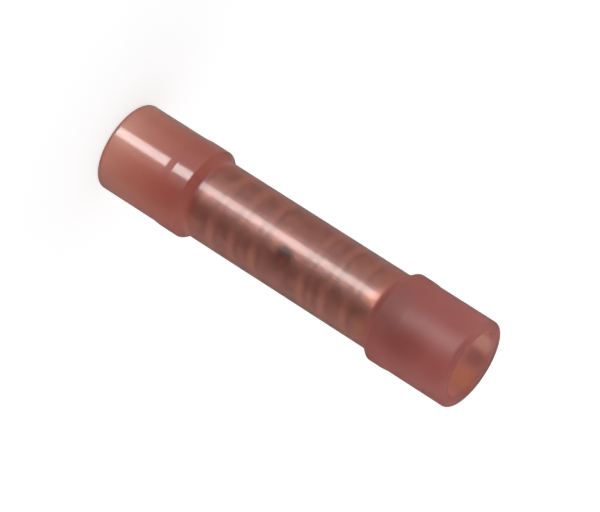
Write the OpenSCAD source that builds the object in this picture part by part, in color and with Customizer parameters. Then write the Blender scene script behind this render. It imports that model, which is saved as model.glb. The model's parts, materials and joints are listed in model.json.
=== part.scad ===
// Insulated butt splice that joins two stranded wires end to end, standing on one mouth.
// A crimp barrel sits in the neck of a one-piece translucent sleeve. Each end of the sleeve is
// flared to take the wire's insulation, and a funnel inside leads the strands into the barrel.

/* [Barrel] */
// Outer diameter of the crimp barrel
barrel_d = 3.5; // [3.2:0.05:4]
// Length of the crimp barrel
barrel_l = 13.4; // [12:0.1:16]
// Diameter of the bore that takes the bare strands
strand_bore_d = 1.8; // [1.5:0.05:2]
// Radius on the outer edge of the barrel's ends
barrel_edge_r = 0.15; // [0.05:0.01:0.25]
// Width of the chamfer at the mouth of the strand bore
strand_lead = 0.2; // [0.1:0.01:0.3]

/* [Grip rings] */
// Rings rolled into each half of the barrel
ring_count = 3; // [1:1:3]
// Distance of the first ring from the middle of the barrel
ring_first = 1.8; // [1.5:0.05:2]
// Distance from one ring to the next
ring_pitch = 1.6; // [1.2:0.05:1.7]
// Width of a ring's groove on the outside
ring_w = 0.8; // [0.5:0.05:1]
// Depth of a ring's groove on the outside
ring_depth = 0.1; // [0.05:0.01:0.15]
// Width of the rib that a ring raises in the bore
rib_w = 0.44; // [0.3:0.01:0.48]
// Height of the rib that a ring raises in the bore
rib_h = 0.08; // [0.04:0.01:0.12]

/* [Wire stop] */
// Length of the pressed-in stretch at the middle of the bore
stop_l = 1.4; // [1.2:0.05:1.8]
// Diameter of the bore at the stop
stop_d = 1.2; // [0.8:0.05:1.3]
// Width of the press mark on the outside
dimple_w = 1; // [0.6:0.05:1.2]
// Depth of the press mark on the outside
dimple_depth = 0.28; // [0.1:0.01:0.35]
// Direction of the press mark about the axis, from the front towards +X
dimple_angle = 15; // [0:1:90]

/* [Sleeve] */
// Wall of the sleeve over the barrel
neck_wall = 0.75; // [0.5:0.01:0.9]
// How far the neck runs past each end of the barrel
neck_over = 0.05; // [0:0.01:0.4]
// Length of the sloping shoulder between neck and flare
shoulder_l = 0.5; // [0.4:0.01:1]
// Length of the lower flare from its mouth to its shoulder
lower_flare_l = 5.95; // [5.4:0.05:7]
// Length of the upper flare from its mouth to its shoulder
upper_flare_l = 5.55; // [5.4:0.05:7]
// Diameter of the bore that takes the wire's insulation
flare_bore_d = 4.3; // [4:0.05:5]
// Length of the straight bore from a mouth to its funnel
flare_bore_l = 4.4; // [3:0.05:4.6]
// Wall of a flare between its shoulder and its forming step
flare_wall = 0.78; // [0.65:0.01:1]

/* [Sleeve edges] */
// How far the funnel's lip closes over the end of the barrel
lip_cover = 0.5; // [0.3:0.01:0.6]
// Radius on the lip's edge
lip_r = 0.08; // [0.03:0.01:0.12]
// Radius of the bend between the straight bore and the funnel
funnel_bend_r = 1.2; // [0.4:0.1:2]
// Radius on the outer edge of a mouth
rim_outer_r = 0.25; // [0.1:0.01:0.3]
// Radius on the inner edge of a mouth
rim_inner_r = 0.15; // [0.05:0.01:0.2]
// Radius on the outer corner of a shoulder
shoulder_r = 0.2; // [0.1:0.01:0.5]
// Radius of the hollow where a shoulder meets the neck
neck_fillet_r = 0.4; // [0.2:0.05:1]
// Length of the faint forming step around a flare, level with the start of the funnel
step_l = 0.5; // [0.3:0.01:0.6]
// How far the forming step draws the flare in towards its mouth
step_h = 0.05; // [0.02:0.005:0.08]

/* [Fit] */
// Gap between the barrel and the sleeve, all round
seat_gap = 0.02; // [0.01:0.005:0.05]
// Gap between each end of the barrel and the funnel's lip
end_gap = 0.03; // [0.01:0.005:0.1]

/* [Hidden] */

// Facets of a round
$fn = 128;

// How far a round cuts into its sides, so that it meets them in clean edges
round_bite = 0.0001;

// Heights are measured from the middle of the barrel, along the axis.
barrel_r = barrel_d / 2;
strand_r = strand_bore_d / 2;
barrel_end = barrel_l / 2;
ring_heights = [for (i = [0 : ring_count - 1], side = [-1, 1]) side * (ring_first + i * ring_pitch)];

seat_r = barrel_r + seat_gap;
seat_end = barrel_end + end_gap;
neck_r = seat_r + neck_wall;
neck_end = barrel_end + neck_over;
shoulder_end = neck_end + shoulder_l;
lower_mouth = shoulder_end + lower_flare_l;
upper_mouth = shoulder_end + upper_flare_l;
flare_bore_r = flare_bore_d / 2;
flare_r = flare_bore_r + flare_wall;
mouth_r = flare_r - step_h;

// Radius of the arc that is w wide and h high
function arc_r(w, h) = w * w / (8 * h) + h / 2;

// Unit vector from p to q
function way(p, q) = (q - p) / norm(q - p);

// Half of the angle at b between a and c
function half_angle(a, b, c) = acos(way(b, a) * way(b, c)) / 2;

// Centre of the round of radius r at b between a and c
function round_centre(a, b, c, r) =
    let (middle = way(b, a) + way(b, c))
    b + middle / norm(middle) * r / sin(half_angle(a, b, c));

// Images of points [radius, height] below the middle, in the opposite order
function below(points) = [for (i = [len(points) - 1 : -1 : 0]) [points[i].x, -points[i].y]];

// What lies between the corner b and its round: cut away at an edge, or added in a hollow.
// Its tip runs past b, so that none of its sides lies along the outline.
module corner(a, b, c, r) {
    centre = round_centre(a, b, c, r);
    reach = r / tan(half_angle(a, b, c));
    tip = b + way(centre, b) * reach;
    difference() {
        polygon([tip, b + way(b, a) * reach, centre, b + way(b, c) * reach]);
        translate(centre) circle(r + round_bite);
    }
}

// Corners of the sleeve's section above the middle. Those at a flare follow the height of its mouth.
neck_middle = [neck_r, 0];
sleeve_neck = [neck_r, neck_end];
sleeve_shoulder = [flare_r, shoulder_end];
sleeve_lip = [barrel_r - lip_cover, seat_end];
sleeve_seat = [seat_r, seat_end];
function step_start(mouth) = [flare_r, mouth - flare_bore_l - step_l / 2];
function step_end(mouth) = [mouth_r, mouth - flare_bore_l + step_l / 2];
function rim_outer(mouth) = [mouth_r, mouth];
function rim_inner(mouth) = [flare_bore_r, mouth];
function funnel_start(mouth) = [flare_bore_r, mouth - flare_bore_l];

// One half of the sleeve's section, from the neck over the mouth to the barrel's seat
function sleeve_half(mouth) = [
    sleeve_neck,
    sleeve_shoulder,
    step_start(mouth),
    step_end(mouth),
    rim_outer(mouth),
    rim_inner(mouth),
    funnel_start(mouth),
    sleeve_lip,
    sleeve_seat
];

// Hollow rounds of one half
module sleeve_hollows(mouth) {
    corner(neck_middle, sleeve_neck, sleeve_shoulder, neck_fillet_r);
    corner(rim_inner(mouth), funnel_start(mouth), sleeve_lip, funnel_bend_r);
}

// What the rounds take off the edges of one half
module sleeve_edges(mouth) {
    corner(sleeve_neck, sleeve_shoulder, step_start(mouth), shoulder_r);
    corner(step_end(mouth), rim_outer(mouth), rim_inner(mouth), rim_outer_r);
    corner(rim_outer(mouth), rim_inner(mouth), funnel_start(mouth), rim_inner_r);
    corner(funnel_start(mouth), sleeve_lip, sleeve_seat, lip_r);
}

module sleeve_section() {
    difference() {
        union() {
            polygon(concat(sleeve_half(upper_mouth), below(sleeve_half(lower_mouth))));
            sleeve_hollows(upper_mouth);
            mirror([0, 1]) sleeve_hollows(lower_mouth);
        }
        sleeve_edges(upper_mouth);
        mirror([0, 1]) sleeve_edges(lower_mouth);
    }
}

// Section of the barrel: a tube that narrows at the stop, with its rolled rings
barrel_edge = [barrel_r, barrel_end];
barrel_lead = [strand_r + strand_lead, barrel_end];

// What the round takes off the outer edge of the barrel's upper end
module barrel_edge_round() {
    corner([barrel_r, 0], barrel_edge, barrel_lead, barrel_edge_r);
}

module barrel_section() {
    ring_r = arc_r(ring_w, ring_depth);
    rib_r = arc_r(rib_w, rib_h);
    stop_r = stop_d / 2;
    upper_half = [
        barrel_edge,
        barrel_lead,
        [strand_r, barrel_end - strand_lead],
        [strand_r, stop_l / 2],
        [stop_r, stop_l / 2 - (strand_r - stop_r)]
    ];
    difference() {
        union() {
            polygon(concat(upper_half, below(upper_half)));
            for (height = ring_heights)
                translate([strand_r + rib_r - rib_h, height]) circle(rib_r);
        }
        barrel_edge_round();
        mirror([0, 1]) barrel_edge_round();
        for (height = ring_heights)
            translate([barrel_r + ring_r - ring_depth, height]) circle(ring_r);
    }
}

module insulation_sleeve() {
    color("indianred", 0.6)
        translate([0, 0, lower_mouth])
            rotate_extrude() sleeve_section();
}

// The press mark is a ball's print, and its metal is pushed into the stop behind it.
module crimp_barrel() {
    dimple_r = arc_r(dimple_w, dimple_depth);
    color("rosybrown")
        translate([0, 0, lower_mouth])
            difference() {
                rotate_extrude() barrel_section();
                rotate([0, 0, dimple_angle])
                    translate([0, dimple_depth - barrel_r - dimple_r, 0])
                        sphere(dimple_r);
            }
}

insulation_sleeve();
crimp_barrel();
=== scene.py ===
"""Looks of a butt splice connector: a translucent red sleeve over a metal crimp barrel.

The part stands on one mouth. The camera looks down on it a little and is rolled, so that the part
lies across the picture from the upper left to the lower right.
"""

import json
import math

import bpy
from mathutils import Matrix, Vector


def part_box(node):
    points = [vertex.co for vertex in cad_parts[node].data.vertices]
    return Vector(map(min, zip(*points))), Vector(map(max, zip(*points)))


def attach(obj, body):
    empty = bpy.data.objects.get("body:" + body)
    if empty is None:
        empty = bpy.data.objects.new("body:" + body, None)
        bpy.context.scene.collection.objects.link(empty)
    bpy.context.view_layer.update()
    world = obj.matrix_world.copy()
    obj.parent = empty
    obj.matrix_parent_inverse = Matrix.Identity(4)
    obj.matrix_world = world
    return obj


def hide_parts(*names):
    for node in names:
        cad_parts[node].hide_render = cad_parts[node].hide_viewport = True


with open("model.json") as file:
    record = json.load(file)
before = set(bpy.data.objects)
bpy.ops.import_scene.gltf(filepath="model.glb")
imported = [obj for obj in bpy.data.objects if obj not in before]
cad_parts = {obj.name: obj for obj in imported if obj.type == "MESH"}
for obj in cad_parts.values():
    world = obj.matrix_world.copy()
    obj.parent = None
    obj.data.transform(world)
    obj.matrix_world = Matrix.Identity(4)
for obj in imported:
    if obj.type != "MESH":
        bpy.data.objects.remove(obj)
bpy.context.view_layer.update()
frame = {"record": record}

MM = 0.001
MOUNTS = {m["name"]: m for m in frame["record"]["mounts"]}

# Sizes that the frame gives, in metres. Heights in the outlines are measured from the barrel's middle.
SLEEVE_LOW, SLEEVE_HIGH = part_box("insulation_sleeve")
BARREL_LOW, BARREL_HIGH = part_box("crimp_barrel")
MIDDLE = (BARREL_LOW.z + BARREL_HIGH.z) / 2
LOWER_MOUTH = MIDDLE - SLEEVE_LOW.z
UPPER_MOUTH = SLEEVE_HIGH.z - MIDDLE
BARREL_END = BARREL_HIGH.z - MIDDLE
BARREL_R = BARREL_HIGH.x
STRAND_R = MOUNTS["strand_socket_upper"]["dims"]["r_mm"] * MM
FLARE_BORE_R = MOUNTS["insulation_socket_upper"]["dims"]["r_mm"] * MM

# Sizes of the sleeve that it shares with the CAD part
SEAT_GAP = 0.02 * MM
END_GAP = 0.03 * MM
NECK_R = BARREL_R + SEAT_GAP + 0.75 * MM
NECK_END = BARREL_END + 0.05 * MM
SHOULDER_END = NECK_END + 0.5 * MM
FLARE_R = FLARE_BORE_R + 0.78 * MM
FLARE_BORE_L = 4.4 * MM
STEP_L = 0.5 * MM
STEP_H = 0.05 * MM
LIP_R = BARREL_R - 0.5 * MM
LIP_ROUND = 0.08 * MM
FUNNEL_BEND = 1.2 * MM
RIM_OUTER_ROUND = 0.25 * MM
RIM_INNER_ROUND = 0.15 * MM
SHOULDER_ROUND = 0.2 * MM
NECK_FILLET = 0.4 * MM

# The real sleeve grips the barrel, so its seat lies this far inside the barrel's surface
SEAT_GRIP = 0.01 * MM

# Sizes of the barrel that it shares with the CAD part
BARREL_EDGE = 0.15 * MM
STRAND_LEAD = 0.2 * MM
RING_FIRST = 1.8 * MM
RING_PITCH = 1.6 * MM
RING_HEIGHTS = [RING_FIRST + k * RING_PITCH for k in range(3)]
RING_W = 0.8 * MM
RING_DEPTH = 0.1 * MM
RIB_W = 0.44 * MM
RIB_H = 0.08 * MM
STOP_L = 1.4 * MM
STOP_R = 0.6 * MM
DIMPLE_W = 1.0 * MM
DIMPLE_DEPTH = 0.28 * MM
DIMPLE_ANGLE = math.radians(15)
DIMPLE_WAY = Vector((math.sin(DIMPLE_ANGLE), -math.cos(DIMPLE_ANGLE), 0))

# Fineness of the barrel's mesh at the press mark: rows on each side of the middle and their distance
MARK_ROWS = 12
MARK_ROW = 0.06 * MM

# Fineness of the meshes: segments around, turn of one step of an arc, and the distance from the end of
# a straight side to the point that keeps it straight
AROUND = 192
ARC_STEP = math.radians(7)
HOLD = 0.03 * MM


# Outlines

def arc_radius(width, height):
    """Radius of the arc that is so wide and so high."""
    return width * width / (8 * height) + height / 2


def hollow(surface_r, height, width, depth, steps=8):
    """Points of an arc cut into a wall at surface_r, from below to above."""
    radius = arc_radius(width, depth)
    points = []
    for k in range(steps + 1):
        along = width * (k / steps - 0.5)
        sag = math.sqrt(radius * radius - along * along) - (radius - depth)
        points.append((surface_r - sag, height + along, 0.0))
    return points


def rounded(corners):
    """A closed outline of (radius, height, round) corners as points.

    Rounds become arcs, and a point near each end of a side keeps it straight under smooth shading.
    """
    arcs = []
    count = len(corners)
    for i, (x, y, r) in enumerate(corners):
        a = Vector(corners[i - 1][:2])
        b = Vector((x, y))
        c = Vector(corners[(i + 1) % count][:2])
        if r == 0:
            arcs.append([b])
            continue
        to_a = (a - b).normalized()
        to_c = (c - b).normalized()
        half = to_a.angle(to_c) / 2
        centre = b + (to_a + to_c).normalized() * r / math.sin(half)
        start = b + to_a * r / math.tan(half) - centre
        turn = math.pi - 2 * half
        if to_a.x * to_c.y - to_a.y * to_c.x > 0:
            turn = -turn
        steps = max(2, math.ceil(abs(turn) / ARC_STEP))
        arcs.append([centre + Matrix.Rotation(turn * k / steps, 2) @ start for k in range(steps + 1)])
    points = []
    for i, arc in enumerate(arcs):
        points += arc
        following = arcs[(i + 1) % count][0]
        gap = following - arc[-1]
        if gap.length > 4 * HOLD:
            points.append(arc[-1] + gap.normalized() * HOLD)
            points.append(following - gap.normalized() * HOLD)
    return points


def below(corners):
    """Images of corners below the middle, in the opposite order."""
    return [(x, -y, r) for x, y, r in reversed(corners)]


def sleeve_half(mouth):
    """One half of the sleeve's section, from the neck over the mouth and along the seat."""
    funnel_start = mouth - FLARE_BORE_L
    mouth_r = FLARE_R - STEP_H
    seat_r = BARREL_R - SEAT_GRIP
    seat_end = BARREL_END + END_GAP
    corners = [
        (NECK_R, NECK_END, NECK_FILLET),
        (FLARE_R, SHOULDER_END, SHOULDER_ROUND),
        (FLARE_R, funnel_start - STEP_L / 2, 0.0),
        (mouth_r, funnel_start + STEP_L / 2, 0.0),
        (mouth_r, mouth, RIM_OUTER_ROUND),
        (FLARE_BORE_R, mouth, RIM_INNER_ROUND),
        (FLARE_BORE_R, funnel_start, FUNNEL_BEND),
        (LIP_R, seat_end, LIP_ROUND),
        (seat_r, seat_end, 0.0),
    ]
    for height in reversed(RING_HEIGHTS):
        corners += reversed(hollow(seat_r, height, RING_W, RING_DEPTH))
    return corners


def barrel_half():
    """One half of the barrel's section, from the middle of the outside over the end to the stop."""
    corners = [(BARREL_R, MARK_ROW * k, 0.0) for k in range(1, MARK_ROWS + 1)]
    for height in RING_HEIGHTS:
        corners += hollow(BARREL_R, height, RING_W, RING_DEPTH)
    corners += [
        (BARREL_R, BARREL_END, BARREL_EDGE),
        (STRAND_R + STRAND_LEAD, BARREL_END, 0.0),
        (STRAND_R, BARREL_END - STRAND_LEAD, 0.0),
    ]
    for height in reversed(RING_HEIGHTS):
        corners += reversed(hollow(STRAND_R, height, RIB_W, RIB_H))
    corners += [(STRAND_R, STOP_L / 2, 0.0), (STOP_R, STOP_L / 2 - (STRAND_R - STOP_R), 0.0)]
    return corners


# Meshes

def turned(name, outline):
    """A closed mesh: the outline turned about the part's axis, its middle raised to the barrel's."""
    vertices = []
    for k in range(AROUND):
        angle = 2 * math.pi * k / AROUND
        for p in outline:
            vertices.append((p.x * math.cos(angle), p.x * math.sin(angle), p.y + MIDDLE))
    count = len(outline)
    faces = []
    for k in range(AROUND):
        here = k * count
        there = ((k + 1) % AROUND) * count
        for i in range(count):
            j = (i + 1) % count
            faces.append((here + i, there + i, there + j, here + j))
    mesh = bpy.data.meshes.new(name)
    mesh.from_pydata(vertices, [], faces)
    mesh.update()
    mesh.shade_smooth()
    piece = bpy.data.objects.new(name, mesh)
    bpy.context.scene.collection.objects.link(piece)
    return piece


def press_dimple(mesh):
    """Pushes the barrel's outside in to a ball's print at its middle."""
    radius = arc_radius(DIMPLE_W, DIMPLE_DEPTH)
    ball = DIMPLE_WAY * (BARREL_R + radius - DIMPLE_DEPTH) + Vector((0, 0, MIDDLE))
    for v in mesh.vertices:
        out = Vector((v.co.x, v.co.y, 0))
        if out.length < BARREL_R * 0.99 or (v.co - ball).length >= radius:
            continue
        way = out.normalized()
        across = ball - Vector((0, 0, v.co.z))
        along = across.dot(way)
        inside = radius * radius - (across - way * along).length_squared
        v.co = way * (along - math.sqrt(inside)) + Vector((0, 0, v.co.z))


# Materials

class Shader:
    """A node tree of a material or a world, with short calls to add and link nodes."""

    def __init__(self, owner):
        owner.use_nodes = True
        self.owner = owner
        self.tree = owner.node_tree
        self.tree.nodes.clear()

    def add(self, kind, inputs=None, **settings):
        node = self.tree.nodes.new(kind)
        for key, value in settings.items():
            setattr(node, key, value)
        for key, value in (inputs or {}).items():
            self.put(node.inputs[key], value)
        return node

    def put(self, socket, value):
        if isinstance(value, bpy.types.NodeSocket):
            self.tree.links.new(value, socket)
        else:
            socket.default_value = value

    def finish(self, surface, kind="ShaderNodeOutputMaterial"):
        self.add(kind, {"Surface": surface.outputs[0]})
        return self.owner

    def maths(self, operation, a, b=0.0, c=0.0):
        return self.add("ShaderNodeMath", {0: a, 1: b, 2: c}, operation=operation).outputs[0]

    def vector(self, operation, a, b):
        return self.add("ShaderNodeVectorMath", {0: a, 1: b}, operation=operation).outputs["Value"]

    def step(self, value, low, high, to_low=0.0, to_high=1.0):
        """A smooth step from to_low to to_high, as value goes from low to high."""
        inputs = {
            "Value": value,
            "From Min": low,
            "From Max": high,
            "To Min": to_low,
            "To Max": to_high,
        }
        node = self.add("ShaderNodeMapRange", inputs, interpolation_type="SMOOTHSTEP")
        return node.outputs["Result"]

    def total(self, start, terms):
        """start, with each (value, share) term's value times its share added."""
        for value, share in terms:
            start = self.maths("MULTIPLY_ADD", value, share, start)
        return start

    def mix(self, share, a, b):
        node = self.add("ShaderNodeMix", data_type="RGBA")
        for name, value in (("Factor_Float", share), ("A_Color", a), ("B_Color", b)):
            socket = next(i for i in node.inputs if i.identifier == name)
            self.put(socket, value)
        return next(o for o in node.outputs if o.identifier == "Result_Color")

    def ramp(self, value, length, stops):
        """Colours along a length, from (place, colour) stops."""
        node = self.add("ShaderNodeValToRGB", {"Fac": self.maths("DIVIDE", value, length)})
        elements = node.color_ramp.elements
        while len(elements) < len(stops):
            elements.new(0.5)
        for k, (place, colour) in enumerate(stops):
            elements[k].position = place / length
            elements[k].color = (*colour, 1)
        return node.outputs["Color"]

    def noise(self, place, scale, detail=2.0):
        inputs = {"Vector": place, "Scale": scale, "Detail": detail}
        return self.add("ShaderNodeTexNoise", inputs).outputs["Fac"]

    def scaled(self, place, sizes):
        return self.add("ShaderNodeVectorMath", {0: place, 1: sizes}, operation="MULTIPLY").outputs[0]

    def position(self):
        """The place on the part and its height, in millimetres."""
        place = self.add("ShaderNodeTexCoord").outputs["Object"]
        place = self.scaled(place, (1 / MM, 1 / MM, 1 / MM))
        return place, self.add("ShaderNodeSeparateXYZ", {0: place}).outputs["Z"]


# Heights in millimetres, for the materials
LENGTH_MM = (SLEEVE_HIGH.z - SLEEVE_LOW.z) / MM
MIDDLE_MM = MIDDLE / MM
BARREL_TOP_MM = BARREL_HIGH.z / MM
NECK_LOW_MM = (MIDDLE - NECK_END) / MM
NECK_HIGH_MM = (MIDDLE + NECK_END) / MM

# Nylon along the sleeve: height in millimetres and colour. The paler colour at the lower mouth is
# painted light shining through the end.
NYLON_ALONG = [
    (0.0, (0.645, 0.30, 0.215)),
    (3.0, (0.665, 0.25, 0.172)),
    (5.6, (0.59, 0.18, 0.13)),
    (7.4, (0.63, 0.25, 0.20)),
    (19.0, (0.63, 0.25, 0.20)),
    (20.6, (0.565, 0.198, 0.172)),
    (21.8, (0.585, 0.218, 0.195)),
    (24.0, (0.635, 0.255, 0.228)),
    (25.3, (0.64, 0.255, 0.228)),
    (26.0, (0.70, 0.30, 0.265)),
]

# Darker nylon that is mixed in unevenly, and its largest share
NYLON_DEEP = (0.50, 0.16, 0.14, 1)
DEEP_SHARE = 0.3

# Painted shade and light in the nylon, on the upper flare and at the upper mouth: place and reach in
# millimetres, share and colour
PAINTED_SHADE_AND_LIGHT = [
    # A painted shade on the front of the upper flare, below its glow
    ((0.7, -2.85, 22.4), 2.3, 0.5, (0.42, 0.135, 0.12)),
    # A painted shade inside the upper mouth
    ((0.3, 2.2, 25.6), 2.9, 0.8, (0.34, 0.115, 0.098)),
    # A painted lit patch on the inner wall of the upper mouth
    ((-1.5, 1.5, 25.2), 1.0, 0.7, (0.72, 0.48, 0.39)),
    # A painted dark band where the inner wall of the upper mouth is unlit
    ((-0.5, 2.1, 25.1), 0.9, 0.7, (0.23, 0.078, 0.06)),
    # A painted orange glow of light shining through the inner wall of the upper mouth
    ((0.9, 1.95, 25.1), 1.3, 0.7, (0.56, 0.20, 0.095)),
]

NYLON_IOR = 1.53
GLOSS_ROUGHNESS = 0.16
RELIEF = 0.01 * MM


def nylon_colour(s, place, height):
    """Paler at the lower mouth as painted light shining through, redder at the shoulders, with painted
    shade and light.
    """
    uneven = s.step(s.noise(place, 0.55, 3.0), 0.3, 0.7, 0.0, DEEP_SHARE)
    colour = s.mix(uneven, s.ramp(height, LENGTH_MM, NYLON_ALONG), NYLON_DEEP)
    # Painted shade and light are mixed into the nylon's colour here
    for centre, reach, share, tone in PAINTED_SHADE_AND_LIGHT:
        near = s.step(s.vector("DISTANCE", place, centre), reach * 0.3, reach, share, 0.0)
        colour = s.mix(near, colour, (*tone, 1))
    return colour


def nylon():
    """Translucent red nylon: glossy at the lower flare, clear over the barrel, hazy at the upper."""
    s = Shader(bpy.data.materials.new("sleeve_nylon"))
    place, height = s.position()

    # How far a place belongs to each stretch of the sleeve, from 0 to 1
    past_flare = s.step(height, NECK_LOW_MM - 0.2, NECK_LOW_MM + 0.4)
    hazy = s.step(height, NECK_HIGH_MM - 0.6, NECK_HIGH_MM + 0.3)
    past_collar = s.step(height, NECK_HIGH_MM + 1.0, NECK_HIGH_MM + 2.0)
    rim = s.step(height, LENGTH_MM - 0.4, LENGTH_MM - 0.1)
    neck = s.maths("SUBTRACT", past_flare, hazy)
    collar = s.maths("SUBTRACT", hazy, past_collar)

    roughness = s.total(0.62, [
        (s.noise(place, 1.2, 3.0), 0.06),
        (past_flare, -0.16),
        (neck, -0.10),
        (hazy, 0.03),
        (collar, 0.14),
        (rim, 0.28),
    ])
    gloss = s.total(0.75, [(neck, -0.43), (hazy, -0.75)])
    clarity = s.total(0.85, [(neck, 0.12)])

    # Slow waves all over, grain on the hazy flare, and streaks drawn along the neck
    grain = s.maths("MULTIPLY", hazy, s.noise(place, 3.0, 3.0))
    streaks = s.maths("MULTIPLY", neck, s.noise(s.scaled(place, (4.0, 4.0, 0.15)), 1.0))
    relief = s.total(0.0, [(s.noise(place, 0.9), 0.15), (grain, 1.0), (streaks, 1.0)])
    bump = s.add("ShaderNodeBump", {"Height": relief, "Strength": 1.0, "Distance": RELIEF})
    return s.finish(s.add("ShaderNodeBsdfPrincipled", {
        "Base Color": nylon_colour(s, place, height),
        "Roughness": roughness,
        "Transmission Weight": clarity,
        "IOR": NYLON_IOR,
        "Coat Weight": gloss,
        "Coat Roughness": GLOSS_ROUGHNESS,
        "Normal": bump.outputs["Normal"],
    }))


# Tones of the barrel's metal
PLATE_DARK = (0.45, 0.37, 0.315, 1)
PLATE_LIGHT = (0.68, 0.57, 0.49, 1)
# Painted sheen in the rolled rings, where their slopes would catch the light, and its largest share
RING_PAINTED_SHEEN = (0.72, 0.60, 0.50, 1)
RING_SHEEN_SHARE = 0.8
# Painted shade in the hollow of the press mark, and its largest share
DIMPLE_PAINTED_SHADE = (0.12, 0.09, 0.08, 1)
DIMPLE_SHADE_SHARE = 0.5
# A painted golden glint at the barrel's upper end, partly the bare metal of the cut end, and its
# largest share
END_GLINT_TONE = (0.80, 0.64, 0.44, 1)
END_GLINT_SHARE = 0.5


def in_ring(s, height):
    """From 0 between the rolled rings and at the barrel's middle to 1 in the rings."""
    ring_w = RING_W / MM
    half_pitch = RING_PITCH / MM / 2
    from_middle = s.maths("ABSOLUTE", s.maths("SUBTRACT", height, MIDDLE_MM))
    past_first = s.maths("SUBTRACT", from_middle, RING_FIRST / MM)
    from_ring = s.maths("ABSOLUTE", s.maths("WRAP", past_first, half_pitch, -half_pitch))
    ring = s.step(from_ring, ring_w * 0.3, ring_w * 0.65, 1.0, 0.0)
    return s.maths("MULTIPLY", ring, s.step(from_middle, 1.0, 1.3))


def barrel_metal():
    """Tin-plated copper, satin and mottled.

    It has a painted sheen in the rolled rings, a painted shade in the press mark and a painted golden
    glint at its upper end, partly the bare metal of the cut end.
    """
    s = Shader(bpy.data.materials.new("barrel_metal"))
    place, height = s.position()
    mottle = s.noise(place, 1.4, 3.0)
    colour = s.mix(s.step(mottle, 0.3, 0.7), PLATE_DARK, PLATE_LIGHT)
    # Painted sheen in the rolled rings
    colour = s.mix(s.maths("MULTIPLY", in_ring(s, height), RING_SHEEN_SHARE), colour, RING_PAINTED_SHEEN)
    mark = tuple(DIMPLE_WAY * BARREL_R / MM + Vector((0, 0, MIDDLE_MM)))
    mark_w = DIMPLE_W / MM
    # Painted shade in the press mark's hollow
    dimple_shade = s.step(s.vector("DISTANCE", place, mark), mark_w * 0.1, mark_w * 0.9, DIMPLE_SHADE_SHARE, 0.0)
    colour = s.mix(dimple_shade, colour, DIMPLE_PAINTED_SHADE)
    # Painted golden glint at the upper end, partly bare metal; the metal is smoother there too
    end = s.step(height, BARREL_TOP_MM - 1.4, BARREL_TOP_MM - 0.5, 0.0, END_GLINT_SHARE)
    return s.finish(s.add("ShaderNodeBsdfPrincipled", {
        "Base Color": s.mix(end, colour, END_GLINT_TONE),
        "Metallic": 1.0,
        "Roughness": s.total(0.44, [(mottle, 0.10), (end, -0.14)]),
    }))


# Pieces

def dress(piece, node, material):
    piece.data.materials.append(material)
    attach(piece, "root")
    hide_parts(node)


sleeve = turned("sleeve", rounded(sleeve_half(UPPER_MOUTH) + below(sleeve_half(LOWER_MOUTH))))
dress(sleeve, "insulation_sleeve", nylon())
barrel = turned("barrel", rounded(barrel_half() + below(barrel_half())))
press_dimple(barrel.data)
dress(barrel, "crimp_barrel", barrel_metal())

# Camera: 600 x 512 pixels. The part's +Z runs towards the lower right of the picture.
PICTURE_W = 600
PIXELS_PER_MM = 17.02
CAMERA_DISTANCE = 0.28
CAMERA_TILT = math.radians(22.5)
CAMERA_ROLL = math.radians(122.6)
AIM_HEIGHT = 13.27 * MM
SENSOR_W = 36.0


def aimed(place, target, roll=0.0):
    """A matrix at place that looks at target, turned about its view by roll."""
    way = (target - place).to_track_quat("-Z", "Y").to_matrix().to_4x4()
    return Matrix.Translation(place) @ way @ Matrix.Rotation(roll, 4, "Z")


def make_camera():
    data = bpy.data.cameras.new("camera")
    data.sensor_width = SENSOR_W
    data.lens = PIXELS_PER_MM / MM * CAMERA_DISTANCE * SENSOR_W / PICTURE_W
    data.clip_start = 0.01
    camera = bpy.data.objects.new("camera", data)
    bpy.context.scene.collection.objects.link(camera)
    aim = Vector((0, 0, AIM_HEIGHT))
    back = Vector((0, -math.cos(CAMERA_TILT), math.sin(CAMERA_TILT)))
    camera.matrix_world = aimed(aim + back * CAMERA_DISTANCE, aim, CAMERA_ROLL)
    bpy.context.scene.camera = camera


# Light

# Floor: half of its side, its colour, and the glow that makes it white to the camera
FLOOR_HALF = 3.0
FLOOR_GREY = (0.5, 0.5, 0.5, 1)
FLOOR_GLOW = 0.68

# Strip lamp: azimuth and elevation in degrees, distance and size in metres, radiance
LAMP_AZIMUTH = -18.2
LAMP_ELEVATION = -22.5
LAMP_DISTANCE = 0.25
LAMP_SIZE = (0.085, 0.08)
LAMP_RADIANCE = 15.5

WHITE = (1, 1, 1, 1)


def toward(azimuth, elevation):
    """Unit vector from the part, with azimuth in degrees from the camera's side towards +X."""
    a, e = math.radians(azimuth), math.radians(elevation)
    return Vector((math.sin(a) * math.cos(e), -math.cos(a) * math.cos(e), math.sin(e)))


def make_lamp():
    """The strip lamp, facing the part from the front and below. It gives the long highlight."""
    data = bpy.data.lights.new("strip_lamp", "AREA")
    data.shape = "RECTANGLE"
    data.size, data.size_y = LAMP_SIZE
    data.energy = LAMP_RADIANCE * LAMP_SIZE[0] * LAMP_SIZE[1] * math.pi
    lamp = bpy.data.objects.new("strip_lamp", data)
    bpy.context.scene.collection.objects.link(lamp)
    centre = Vector((0, 0, MIDDLE))
    place = centre + toward(LAMP_AZIMUTH, LAMP_ELEVATION) * LAMP_DISTANCE
    lamp.matrix_world = aimed(place, centre)


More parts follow.
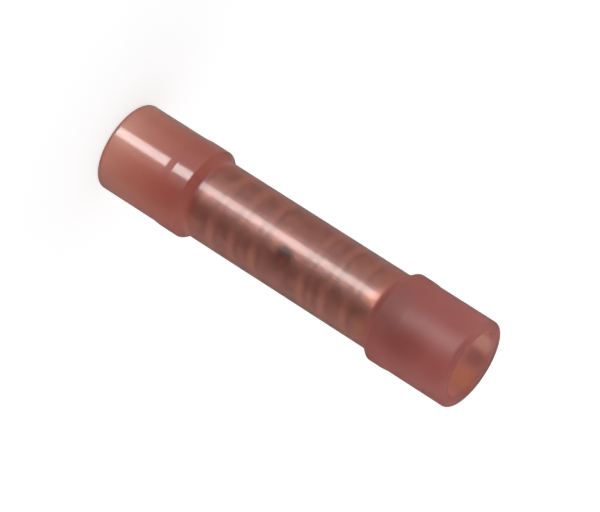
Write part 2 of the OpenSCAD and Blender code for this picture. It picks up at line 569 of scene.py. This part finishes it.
def make_floor():
    """A white floor that keeps the part's shadow. The strip lamp shines through it from below."""
    h = FLOOR_HALF
    mesh = bpy.data.meshes.new("floor")
    mesh.from_pydata([(-h, -h, 0), (h, -h, 0), (h, h, 0), (-h, h, 0)], [], [(0, 1, 2, 3)])
    floor = bpy.data.objects.new("floor", mesh)
    bpy.context.scene.collection.objects.link(floor)
    s = Shader(bpy.data.materials.new("floor_white"))
    seen = s.add("ShaderNodeLightPath").outputs["Is Camera Ray"]
    strength = s.maths("MULTIPLY", seen, FLOOR_GLOW)
    glow = s.add("ShaderNodeEmission", {"Color": WHITE, "Strength": strength})
    matt = s.add("ShaderNodeBsdfDiffuse", {"Color": FLOOR_GREY})
    both = s.add("ShaderNodeAddShader", {0: matt.outputs[0], 1: glow.outputs[0]})
    mesh.materials.append(s.finish(both))
    floor.visible_glossy = False
    floor.visible_transmission = False
    floor.visible_diffuse = False
    floor.visible_shadow = False


# Level of the surroundings, and the soft lights in them: azimuth, elevation and reach in degrees, and
# what each adds
BASE_LEVEL = 0.2
SOFT_LIGHTS = [
    (180, 80, 50, 1.2),
    (100, -10, 45, 0.27),
    (-135, -20, 45, 0.15),
    (-45, -22.5, 45, 0.6),
    (-2, -22.5, 20, 1.2),
    (115, 60, 40, 0.5),
]


def make_world():
    """Even light all round, with the soft lights in it.

    The camera sees it white, and so does light that shines through the sleeve, apart from the side of
    the camera and the floor.
    """
    world = bpy.data.worlds.new("studio")
    bpy.context.scene.world = world
    s = Shader(world)
    way = s.add("ShaderNodeTexCoord").outputs["Generated"]
    level = BASE_LEVEL
    for azimuth, elevation, reach, gain in SOFT_LIGHTS:
        near = s.vector("DOT_PRODUCT", way, tuple(toward(azimuth, elevation)))
        level = s.maths("ADD", level, s.step(near, math.cos(math.radians(reach)), 1.0, 0.0, gain))
    rays = s.add("ShaderNodeLightPath").outputs
    front = s.vector("DOT_PRODUCT", way, tuple(toward(0, LAMP_ELEVATION)))
    not_front = s.step(front, 0.1, 0.6, 1.0, 0.0)
    through = s.maths("MULTIPLY", rays["Is Transmission Ray"], not_front)
    strength = s.maths("MAXIMUM", level, s.maths("MAXIMUM", rays["Is Camera Ray"], through))
    back = s.add("ShaderNodeBackground", {"Color": WHITE, "Strength": strength})
    s.finish(back, "ShaderNodeOutputWorld")


make_camera()
make_floor()
make_world()
make_lamp()

bpy.context.scene.view_settings.view_transform = "Standard"
